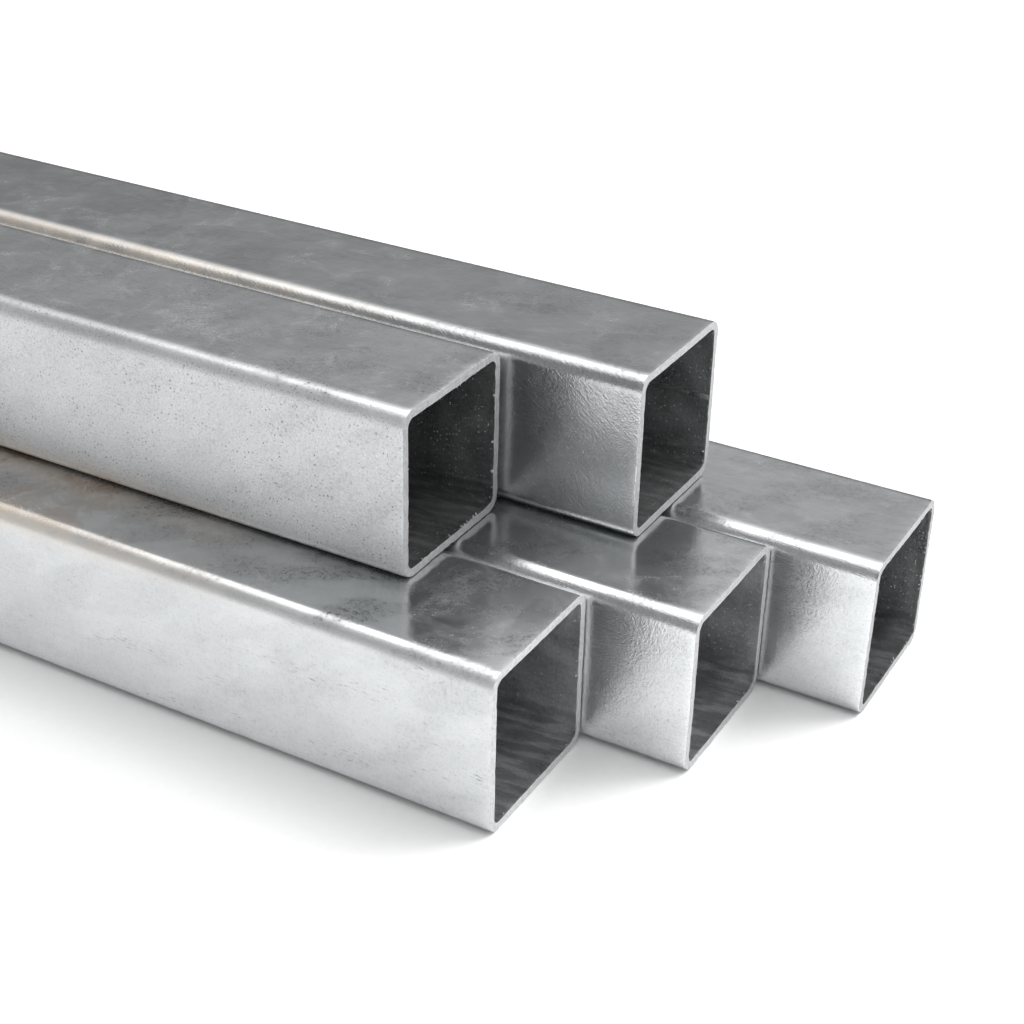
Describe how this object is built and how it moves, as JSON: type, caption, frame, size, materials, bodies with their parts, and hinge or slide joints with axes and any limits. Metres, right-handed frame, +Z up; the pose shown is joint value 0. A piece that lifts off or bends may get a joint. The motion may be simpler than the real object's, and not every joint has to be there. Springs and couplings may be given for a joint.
{
  "type": "stack of square steel tubes",
  "caption": "Two-row loose stack of galvanised square steel tubes with staggered sawn ends, stocked for cutting into frames, posts and rails.",
  "frame": {"origin": "centre of the stack's footprint, on the floor that it lies on", "axes": "+X along the tubes towards the ends that the stagger shows, +Y across the rows from the front tube to the back tube, +Z up"},
  "size_m": [1.127, 0.1808, 0.12],
  "materials": {
    "galvanised_steel": "zinc coated, satin, with faint spangle, light rolling scratches and bare sawn ends"
  },
  "bodies": {
    "root": {"bottom_front_tube": "galvanised_steel", "bottom_middle_tube": "galvanised_steel", "bottom_back_tube": "galvanised_steel", "top_front_tube": "galvanised_steel", "top_back_tube": "galvanised_steel"}
  },
  "joints": []
}
